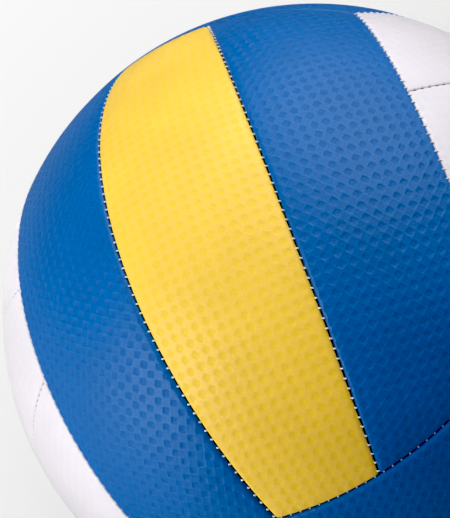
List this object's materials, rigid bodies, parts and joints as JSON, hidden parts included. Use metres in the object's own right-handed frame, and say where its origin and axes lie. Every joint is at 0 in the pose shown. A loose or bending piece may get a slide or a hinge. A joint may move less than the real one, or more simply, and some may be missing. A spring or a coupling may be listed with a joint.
{
  "type": "volleyball",
  "caption": "Stitched indoor volleyball: six faces of parallel padded strips with an embossed skin, over an inflated bladder with a needle valve.",
  "frame": {"origin": "centre of the ball", "axes": "+Z through the middle of the top face, whose strips run along X; -Y along the valve, out of the ball"},
  "size_m": [0.21, 0.2099, 0.21],
  "materials": {
    "skin_blue": "embossed satin synthetic leather",
    "skin_yellow": "embossed satin synthetic leather",
    "skin_white": "satin synthetic leather",
    "foam": "closed-cell foam",
    "lining_cloth": "woven polyester and cotton",
    "thread": "waxed polyester",
    "bladder_rubber": "smooth butyl",
    "valve_rubber": "moulded"
  },
  "bodies": {
    "root": {"top_panel_1": "skin_blue", "top_foam_1": "foam", "top_lining_1": "lining_cloth", "top_panel_2": "skin_yellow", "top_foam_2": "foam", "top_lining_2": "lining_cloth", "top_panel_3": "skin_blue", "top_foam_3": "foam", "top_lining_3": "lining_cloth", "bottom_panel_1": "skin_blue", "bottom_foam_1": "foam", "bottom_lining_1": "lining_cloth", "bottom_panel_2": "skin_yellow", "bottom_foam_2": "foam", "bottom_lining_2": "lining_cloth", "bottom_panel_3": "skin_blue", "bottom_foam_3": "foam", "bottom_lining_3": "lining_cloth", "right_panel_1": "skin_blue", "right_foam_1": "foam", "right_lining_1": "lining_cloth", "right_panel_2": "skin_yellow", "right_foam_2": "foam", "right_lining_2": "lining_cloth", "right_panel_3": "skin_blue", "right_foam_3": "foam", "right_lining_3": "lining_cloth", "left_panel_1": "skin_blue", "left_foam_1": "foam", "left_lining_1": "lining_cloth", "left_panel_2": "skin_yellow", "left_foam_2": "foam", "left_lining_2": "lining_cloth", "left_panel_3": "skin_blue", "left_foam_3": "foam", "left_lining_3": "lining_cloth", "back_panel_1": "skin_white", "back_foam_1": "foam", "back_lining_1": "lining_cloth", "back_panel_2": "skin_white", "back_foam_2": "foam", "back_lining_2": "lining_cloth", "back_panel_3": "skin_white", "back_foam_3": "foam", "back_lining_3": "lining_cloth", "front_panel_1": "skin_white", "front_foam_1": "foam", "front_lining_1": "lining_cloth", "front_panel_2": "skin_white", "front_foam_2": "foam", "front_lining_2": "lining_cloth", "front_panel_3": "skin_white", "front_foam_3": "foam", "front_lining_3": "lining_cloth", "strip_seam_threads": "thread", "side_seam_threads": "thread", "bladder": "bladder_rubber", "valve_housing": "valve_rubber", "valve_core": "valve_rubber"}
  },
  "joints": []
}
